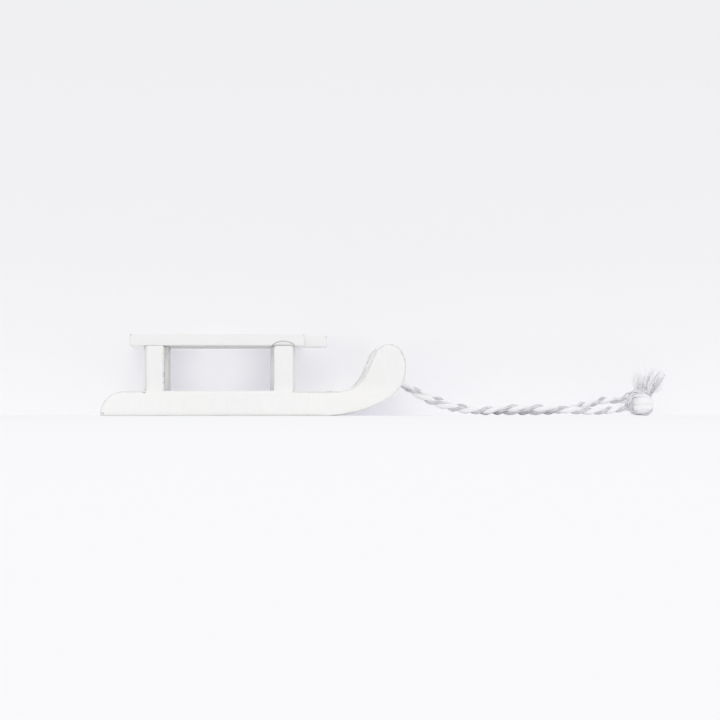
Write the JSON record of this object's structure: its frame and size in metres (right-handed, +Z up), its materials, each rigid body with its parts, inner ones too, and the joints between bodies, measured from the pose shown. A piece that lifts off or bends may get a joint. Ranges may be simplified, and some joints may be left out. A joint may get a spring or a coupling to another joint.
{
  "type": "small wooden craft sled",
  "caption": "Small painted wooden sled: two sawn runner frames with upturned curls, bolsters, seat slats, and a doubled twine pull cord hitched to the crossbar.",
  "frame": {"origin": "middle of the sled's footprint on the floor, measured without its cord", "axes": "+X forward towards the curls, +Y to the sled's left, +Z up"},
  "size_m": [0.1508, 0.032, 0.0213],
  "materials": {
    "frame_paint": "matt white paint, brushed, on sawn wood",
    "bolster_paint": "matt white paint on sawn wood",
    "slat_paint": "matt white paint, grain showing along the slats",
    "crossbar_paint": "matt white paint on a round bar",
    "twine": "two-ply twine, one ply grey and one white",
    "frayed_twine": "loose grey and white fibres"
  },
  "bodies": {
    "root": {"side_frame_right": "frame_paint", "side_frame_left": "frame_paint", "bolster_rear": "bolster_paint", "bolster_front": "bolster_paint", "seat_slat_right": "slat_paint", "seat_slat_middle": "slat_paint", "seat_slat_left": "slat_paint", "front_crossbar": "crossbar_paint", "pull_cord_right": "twine", "pull_cord_left": "twine", "cord_knot": "twine", "cord_tassel": "frayed_twine"}
  },
  "joints": []
}
